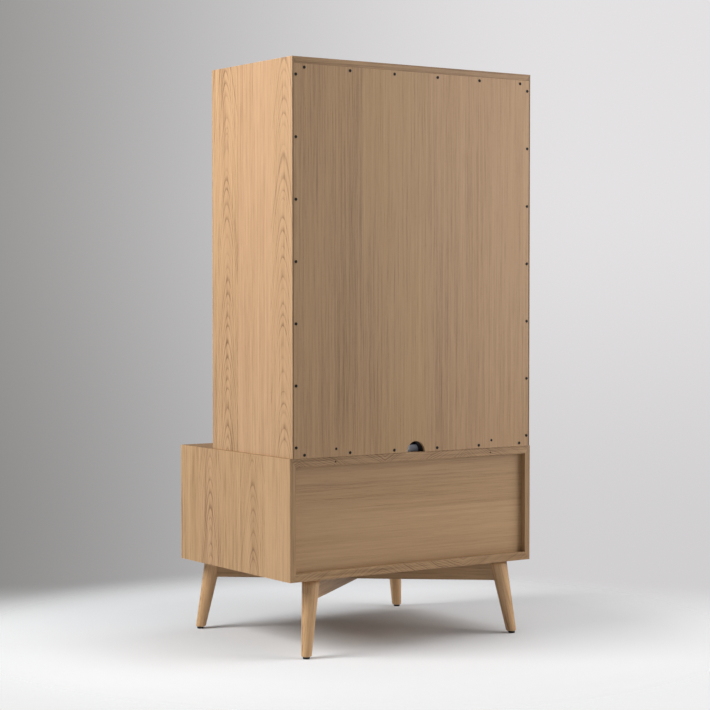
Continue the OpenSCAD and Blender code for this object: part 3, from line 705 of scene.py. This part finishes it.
class ARMOIRE_OT_lower_boards(bpy.types.Operator):
    """Eases and veneers the case under the cabinet"""

    bl_idname = "armoire.lower_boards"
    bl_label = "Lower boards"

    def execute(self, context):
        for node in ("lower_side_left", "lower_side_right"):
            side = veneer(node, "ZYX", LOWER_SIDE_LEAVES, figure=1.1, tone=0.04)
            eased_board(node, side)
        for node, turn in (("lower_top", 1), ("lower_bottom", -1)):
            board = veneer(node, "XYZ", WIDE_LEAVES, curl=0.5, turn=turn)
            eased_board(node, board)
        back = veneer("lower_back", "XZY", LOWER_BACK_LEAVES, tone=0.06, grain=0.55)
        dress("lower_back", back)
        dress("mitre_splines", birch("mitre_splines", "YXZ"))
        return {"FINISHED"}


class ARMOIRE_OT_fronts(bpy.types.Operator):
    """Eases and veneers the doors and the drawer fronts"""

    bl_idname = "armoire.fronts"
    bl_label = "Fronts"

    def execute(self, context):
        for node in ("door_left", "door_right"):
            eased_board(node, veneer(node, "ZXY", DOOR_LEAVES, figure=0.7))
        for node, turn in (("drawer_front_upper", 1), ("drawer_front_lower", -1)):
            board = veneer(node, "XZY", DRAWER_LEAVES, slope=0.03, figure=0.8, turn=turn)
            eased_board(node, board)
        return {"FINISHED"}


class ARMOIRE_OT_drawer_boxes(bpy.types.Operator):
    """Finishes the plywood boxes and their grey bottoms"""

    bl_idname = "armoire.drawer_boxes"
    bl_label = "Drawer boxes"

    def execute(self, context):
        for tier in ("upper", "lower"):
            sides, back = "drawer_sides_" + tier, "drawer_back_" + tier
            eased_board(sides, birch(sides, "YZX"))
            eased_board(back, birch(back, "XZY"))
            dress("drawer_bottom_" + tier, laminate("drawer_bottom_" + tier))
        return {"FINISHED"}


# ---- Turned parts ----------------------------------------------------------


def leg_surface(node, cols=72):
    """A tapered leg, cut level at both ends, on an axis from the middle of its top to the
    middle of its glide's foot. The line at angle a is top + s * axis + (r - k * s) * e(a),
    with r the radius at the top and e(a) = cos a * u + sin a * v; it meets the level z at
    s = (z - top.z - r * e.z) / (axis.z - k * e.z). Near the foot each level section
    shrinks towards its middle by an arc. Returns the points, the faces, and each point's
    place along and across the axis, which the grain follows."""
    foot_round = bpy.context.scene.armoire_turned.foot_round
    straight_rows, arc_rows = 12, 7
    low, high = corners(node)
    foot_z, top_z = low[2], high[2]
    side = np.sign((low + high)[:2] / 2 - [0, MIDDLE_Y])
    glide_low, glide_high = corners("leg_glides")
    glide = np.where(side > 0, glide_high[:2] - GLIDE_R, glide_low[:2] + GLIDE_R)
    top = np.array([LEG_TOP[0] * side[0], MIDDLE_Y + LEG_TOP[1] * side[1], top_z])
    tilt = np.append(glide, glide_low[2]) - top
    axis = tilt / np.linalg.norm(tilt)
    v = np.cross(axis, tilt * [1, 1, 0])
    v /= np.linalg.norm(v)
    u = np.cross(v, axis)
    k = (LEG_TOP_R - LEG_FOOT_R) / np.linalg.norm(tilt)
    angle = np.linspace(0, 2 * np.pi, cols, endpoint=False)
    e = np.cos(angle)[:, None] * u + np.sin(angle)[:, None] * v
    arc = np.linspace(np.pi / 2, 0, arc_rows)
    straight_z = np.linspace(top_z, foot_z + foot_round, straight_rows)[:-1]
    z = np.concatenate([straight_z, foot_z + foot_round * (1 - np.cos(arc))])
    s = (z[:, None] - top_z - LEG_TOP_R * e[None, :, 2]) / (axis[2] - k * e[None, :, 2])
    points = top + s[..., None] * axis + (LEG_TOP_R - k * s)[..., None] * e
    middle = points.mean(1, keepdims=True)
    inset = np.zeros(len(z))
    inset[-arc_rows:] = foot_round * (1 - np.sin(arc))
    radius = np.linalg.norm(points - middle, axis=2, keepdims=True)
    points = middle + (points - middle) * (1 - inset[:, None, None] / radius)
    poles = middle[[0, -1], 0]
    everything = np.vstack([points.reshape(-1, 3), poles])
    grain = (everything - top) @ np.stack([axis, u, v], -1)
    return everything, skin(len(z), cols), grain


class ARMOIRE_OT_base(bpy.types.Operator):
    """Turns the four legs and their glides and eases the crossed stretcher"""

    bl_idname = "armoire.base"
    bl_label = "Base"

    def execute(self, context):
        turned = context.scene.armoire_turned
        for number, node in enumerate(LEG_NODES):
            points, faces, grain = leg_surface(node)
            material = solid_oak(node, "XYZ", heart=(0.05 - 0.02 * number, 0.03), slope=0.05,
                                 attribute="grain", tone=0.2, gain=1.24)
            add_piece("turned_" + node, points, faces, material, node, grain)
        low, high = corners("leg_glides")
        spots = [(x, y) for x in (low[0] + GLIDE_R, high[0] - GLIDE_R)
                 for y in (low[1] + GLIDE_R, high[1] - GLIDE_R)]
        foot_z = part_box(LEG_NODES[0])[0][2]
        profile = rounded([(0, 0), (GLIDE_R, 0), (GLIDE_R, foot_z), (0, foot_z)],
                          turned.glide_round)[1:-1]
        cols = 48
        cups = [lathe(profile, np.array([x, y, 0.0]), (0, 0, 1), cols) for x, y in spots]
        faces = [f for n, cup in enumerate(cups) for f in skin(len(profile), cols, n * len(cup))]
        plastic = black("leg_glides", context.scene.armoire_fittings.plastic)
        add_piece("turned_glides", np.vstack(cups), faces, plastic,
                  "leg_glides")
        for node, sign in (("stretcher_left", 1), ("stretcher_right", -1)):
            turn = sign * math.atan2(LEG_TOP[1], LEG_TOP[0])
            plank = solid_oak(node, "XZY", heart=(0.33, 0.03), turn=turn, tone=0.01)
            eased_board(node, plank)
        return {"FINISHED"}


def knob_profile(size, rise):
    """Outline of a knob from its seat to the middle of its crown, as (radius, height): a
    foot, a neck, a flare that opens as one minus a cosine, and a low domed crown."""
    base_r, neck_r, base_h, neck_h, crown_h = np.array([10, 8, 2, 4, 9]) * MM
    rim = rise - crown_h
    a = np.linspace(0, np.pi / 2, 14)
    flare = np.stack([neck_r + (size - neck_r) * (1 - np.cos(a)),
                      neck_h + (rim - neck_h) * np.sin(a)], -1)[1:]
    crown = np.stack([size * np.cos(a), rim + crown_h * np.sin(a)], -1)[1:-1]
    foot = rounded([(base_r - 3 * MM, 0), (base_r, 0), (base_r, base_h), (neck_r, neck_h),
                    flare[0]], 0.8 * MM, 4)[:-1]
    return np.vstack([foot, flare, crown, [[0.35 * MM, rise]]])


class ARMOIRE_OT_knobs(bpy.types.Operator):
    """Turns the knobs of the doors and the drawers"""

    bl_idname = "armoire.knobs"
    bl_label = "Knobs"

    def execute(self, context):
        for node in ("door_knob_left", "door_knob_right", "drawer_knobs_upper",
                     "drawer_knobs_lower"):
            low, high = corners(node)
            size, rise = (high[2] - low[2]) / 2, high[1] - low[1]
            z = (low[2] + high[2]) / 2
            xs = sorted({round(low[0] + size, 6), round(high[0] - size, 6)})
            profile, cols = knob_profile(size, rise), 64
            turned = [lathe(profile, np.array([x, high[1], z]), (0, -1, 0), cols) for x in xs]
            faces = [f for n, knob in enumerate(turned)
                     for f in skin(len(profile), cols, n * len(knob))]
            wood = solid_oak(node, "ZXY", heart=(0.7, 0.05))
            add_piece("turned_" + node, np.vstack(turned), faces, wood, node)
        return {"FINISHED"}


def screw_head(rise, cols):
    """A head at the origin, rise high along Y: its top falls with the square of the radius
    and faster near the rim, and a cross is sunk into it. Returns its rings and two poles,
    and how many rings there are."""
    turned = bpy.context.scene.armoire_turned
    r = np.array(SCREW_RINGS)[:, None]
    out = r / SCREW_HEAD_R
    dome = rise * (1 - 0.16 * out**2 - 0.5 * np.clip(out - 0.8, 0, 1))
    a = np.linspace(0, 2 * np.pi, cols, endpoint=False)
    x, z = r * np.cos(a), r * np.sin(a)
    soft = 0.25 * MM
    in_bar = np.clip((turned.recess_bar / 2 - np.minimum(abs(x), abs(z))) / soft + 0.5, 0, 1)
    in_span = np.clip((turned.recess_span / 2 - r) / soft + 0.5, 0, 1)
    top = dome - turned.recess_depth * in_bar * in_span
    crown = np.stack([x, top, z], -1)[::-1]
    levels = np.array([0, rise * 0.45])[:, None]
    rim = SCREW_HEAD_R * np.cos(a), levels, SCREW_HEAD_R * np.sin(a)
    rings = np.concatenate([np.stack(np.broadcast_arrays(*rim), -1), crown])
    poles = np.array([[0, 0, 0], [0, top[0].mean(), 0]])
    # Turned about Y the rings run the other way round, so each is read backwards.
    return np.vstack([rings[:, ::-1].reshape(-1, 3), poles]), len(rings)


class ARMOIRE_OT_back_screws(bpy.types.Operator):
    """Shapes the cross-recessed screws of the back panel"""

    bl_idname = "armoire.back_screws"
    bl_label = "Back screws"

    def execute(self, context):
        node = "back_screws"
        vertices = frame["nodes"][node].data.vertices
        co = np.zeros(len(vertices) * 3)
        vertices.foreach_get("co", co)
        co = co.reshape(-1, 3)
        rear = co[:, 1].max()
        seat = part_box("back_panel")[1][1]
        rim = co[co[:, 1] > rear - 0.1 * MM]
        # Points on the rim of one head lie within its width of each other, so the mean of
        # each point's neighbours is the middle of its head.
        apart = np.linalg.norm(rim[:, None, [0, 2]] - rim[None, :, [0, 2]], axis=2)
        near = apart < 2.2 * SCREW_HEAD_R
        centres = np.unique(np.round((near @ rim) / near.sum(1, keepdims=True), 5), axis=0)
        if len(centres) != SCREW_COUNT:
            raise RuntimeError(f"{node}: {len(centres)} heads, not {SCREW_COUNT}")
        cols = 48
        head, rows = screw_head(rear - seat, cols)
        heads = [head + [c[0], seat, c[2]] for c in centres]
        faces = [f for n in range(len(heads)) for f in skin(rows, cols, n * len(head))]
        finish = black("back_screws", context.scene.armoire_fittings.screw, 0.5)
        add_piece("back_screw_heads", np.vstack(heads), faces, finish, node)
        return {"FINISHED"}


# ---- Fittings --------------------------------------------------------------


class ARMOIRE_OT_fittings(bpy.types.Operator):
    """Finishes the hinges, runners, rod, pins, catches and bolts"""

    bl_idname = "armoire.fittings"
    bl_label = "Fittings"

    def execute(self, context):
        colours = context.scene.armoire_fittings
        brass = metal("brass", colours.brass, "ZXY", 0.3, 0.4, 0.35)
        for node in ("hinge_leaves_case", "hinge_leaves_left", "hinge_leaves_right",
                     "hinge_pins", "hinge_screws_case", "hinge_screws_left",
                     "hinge_screws_right"):
            dress(node, brass)
        runner = metal("runner", colours.steel, "YXZ", 0.34, 0.6, 0.3)
        for node in ("runners_case", "runners_mid_upper", "runners_mid_lower",
                     "drawer_runners_upper", "drawer_runners_lower"):
            dress(node, runner)
        rod = metal("rod", colours.steel, "XYZ", 0.2, 0.3, 0.12)
        for node in ("hanging_rod", "rod_sockets"):
            dress(node, rod)
        bolt = metal("bolt", colours.steel, "ZXY", 0.36, 0.2, 0.4)
        for node in ("shelf_pins", "case_bolts", "base_fixings", "catch_plate_left",
                     "catch_plate_right", "door_knob_screws_left", "door_knob_screws_right",
                     "drawer_knob_screws_upper", "drawer_knob_screws_lower"):
            dress(node, bolt)
        dress("catch_magnets", black("catch_magnets", colours.plastic))
        return {"FINISHED"}


# ---- Stage -----------------------------------------------------------------


def soft_light(name, place, aim, width, power, tint):
    """A square soft light that the camera doesn't see."""
    data = bpy.data.lights.new(name, "AREA")
    data.shape = "SQUARE"
    data.size = width
    data.energy = power
    data.color = tint
    light = bpy.data.objects.new(name, data)
    light.location = place
    towards = np.array(aim) - np.array(place)
    light.rotation_euler = Vector(towards).to_track_quat("-Z", "Y").to_euler()
    light.visible_camera = False
    bpy.context.scene.collection.objects.link(light)


def backdrop(stage):
    """A sweep that the camera sees, with the far floor's colour below and a wall that is
    shaded on one side; the object is lit by a plain sky and by the light off the floor."""
    world = bpy.data.worlds.new("backdrop")
    bpy.context.scene.world = world
    world.use_nodes = True
    m = Finish("backdrop", world.node_tree)
    x, y, z = m.split(m.node("ShaderNodeTexCoord", output="Generated"))
    side = math.radians(stage.azimuth)
    across = x * math.cos(side) + y * math.sin(side)
    wall = m.mix(across.step(-0.28, 0.12), stage.wall_dark, stage.wall_light)
    wall = m.mix(across.step(-0.3, -0.9), wall, stage.wall_light)
    foot = z.step(0.06, -0.14)  # painted shade: the wall darkens a little towards the floor
    wall = m.mix(foot * 0.17, wall, (0.0, 0.0, 0.0))
    seen = m.mix(z.step(-0.148, -0.172), wall, stage.ground)
    light = z.step(-0.02, 0.02) * (stage.sky - stage.ground_light) + stage.ground_light
    for_camera = m.node("ShaderNodeBackground", None, {"Color": seen, "Strength": 1.0})
    sky_tint = (0.93, 0.98, 1.06)
    for_light = m.node("ShaderNodeBackground", None, {"Color": sky_tint, "Strength": light})
    ray = m.node("ShaderNodeLightPath", output="Is Camera Ray")
    both = m.node("ShaderNodeMixShader", None, [ray, for_light, for_camera])
    m.node_out("ShaderNodeOutputWorld", both)


def set_camera(scene, stage):
    """Looks at the aim from the stage's azimuth and elevation."""
    azimuth, elevation = math.radians(stage.azimuth), math.radians(stage.elevation)
    back = np.array([math.sin(azimuth) * math.cos(elevation),
                     -math.cos(azimuth) * math.cos(elevation), math.sin(elevation)])
    data = bpy.data.cameras.new("camera")
    data.lens = stage.lens
    data.clip_end = 60
    camera = bpy.data.objects.new("camera", data)
    camera.location = np.array(stage.aim) + back * stage.distance
    camera.rotation_euler = Vector(-back).to_track_quat("-Z", "Y").to_euler()
    scene.collection.objects.link(camera)
    scene.camera = camera


def lay_floor(scene, stage):
    """A round pale floor that fades away towards its edge."""
    rows, cols = 40, 96
    radius = (np.linspace(0.05, 1, rows) ** 1.2 * stage.floor_far)[:, None]
    angle = np.linspace(0, 2 * np.pi, cols, endpoint=False)
    rings = np.stack([radius * np.cos(angle), radius * np.sin(angle), np.zeros((rows, cols))], -1)
    i, j = np.arange(rows - 1)[:, None], np.arange(cols)[None, :]
    a, b = i * cols + j, i * cols + (j + 1) % cols
    faces = np.stack([a, a + cols, b + cols, b], -1).reshape(-1, 4).tolist()
    mesh = bpy.data.meshes.new("floor")
    mesh.from_pydata(rings.reshape(-1, 3).tolist(), [], [*faces, list(range(cols))])
    floor = bpy.data.objects.new("floor", mesh)
    scene.collection.objects.link(floor)
    m = Finish("pale_floor")
    x, y, _z = m.place()
    r = (x * x + y * y).math("SQRT")
    cloud = m.noise(m.vector(x * 1.5, y * 1.5, 0.0), 2.0)
    tint = m.mix(cloud * 0.1 + 0.05, stage.floor_colour, (0.7, 0.71, 0.72))
    whole = 1.0 - r.step(stage.floor_near, stage.floor_far)
    mesh.materials.append(m.close(tint, cloud * 0.05 + 0.75, Alpha=whole))


class ARMOIRE_OT_stage(bpy.types.Operator):
    """Lays the floor and sets the camera, the backdrop and the soft lights"""

    bl_idname = "armoire.stage"
    bl_label = "Stage"

    def execute(self, context):
        scene = context.scene
        stage = scene.armoire_stage
        scene.view_settings.view_transform = "Standard"
        set_camera(scene, stage)
        backdrop(stage)
        lay_floor(scene, stage)
        soft_light("key", (3.1, -0.5, 2.6), (0.2, 0.0, 0.9), 1.8, stage.key, (1.0, 1.0, 0.99))
        soft_light("overhead", (-1.3, 0.7, 4.0), (-0.2, 0, 0), 3.2, stage.overhead,
                   (1.0, 1.0, 1.0))
        soft_light("fill", (-2.5, 2.3, 1.6), (0, 0.3, 0.6), 2.2, stage.fill, (1.0, 0.96, 0.92))
        return {"FINISHED"}


# ---- Sidebar and run -------------------------------------------------------

GROUPS = {
    "armoire_oak": ArmoireOak,
    "armoire_boards": ArmoireBoards,
    "armoire_turned": ArmoireTurned,
    "armoire_fittings": ArmoireFittings,
    "armoire_stage": ArmoireStage,
}
OPERATORS = (
    ARMOIRE_OT_stage,
    ARMOIRE_OT_upper_boards,
    ARMOIRE_OT_lower_boards,
    ARMOIRE_OT_fronts,
    ARMOIRE_OT_drawer_boxes,
    ARMOIRE_OT_base,
    ARMOIRE_OT_knobs,
    ARMOIRE_OT_back_screws,
    ARMOIRE_OT_fittings,
)


class ARMOIRE_PT_sidebar(bpy.types.Panel):
    """Lists the pieces of the armoire in the sidebar"""

    bl_idname = "ARMOIRE_PT_sidebar"
    bl_label = "Armoire"
    bl_space_type = "VIEW_3D"
    bl_region_type = "UI"
    bl_category = "Armoire"

    def draw(self, context):
        for operator in OPERATORS:
            self.layout.operator(operator.bl_idname)
        for name, group in GROUPS.items():
            box = self.layout.box()
            for prop in group.__annotations__:
                box.prop(getattr(context.scene, name), prop)


def register():
    for name, group in GROUPS.items():
        bpy.utils.register_class(group)
        setattr(bpy.types.Scene, name, PointerProperty(type=group))
    for made in (*OPERATORS, ARMOIRE_PT_sidebar):
        bpy.utils.register_class(made)


def unregister():
    for made in (ARMOIRE_PT_sidebar, *reversed(OPERATORS)):
        bpy.utils.unregister_class(made)
    for name, group in reversed(GROUPS.items()):
        delattr(bpy.types.Scene, name)
        bpy.utils.unregister_class(group)


def main():
    register()
    for operator in OPERATORS:
        group, name = operator.bl_idname.split(".")
        getattr(getattr(bpy.ops, group), name)()


if __name__ == "__main__":
    main()
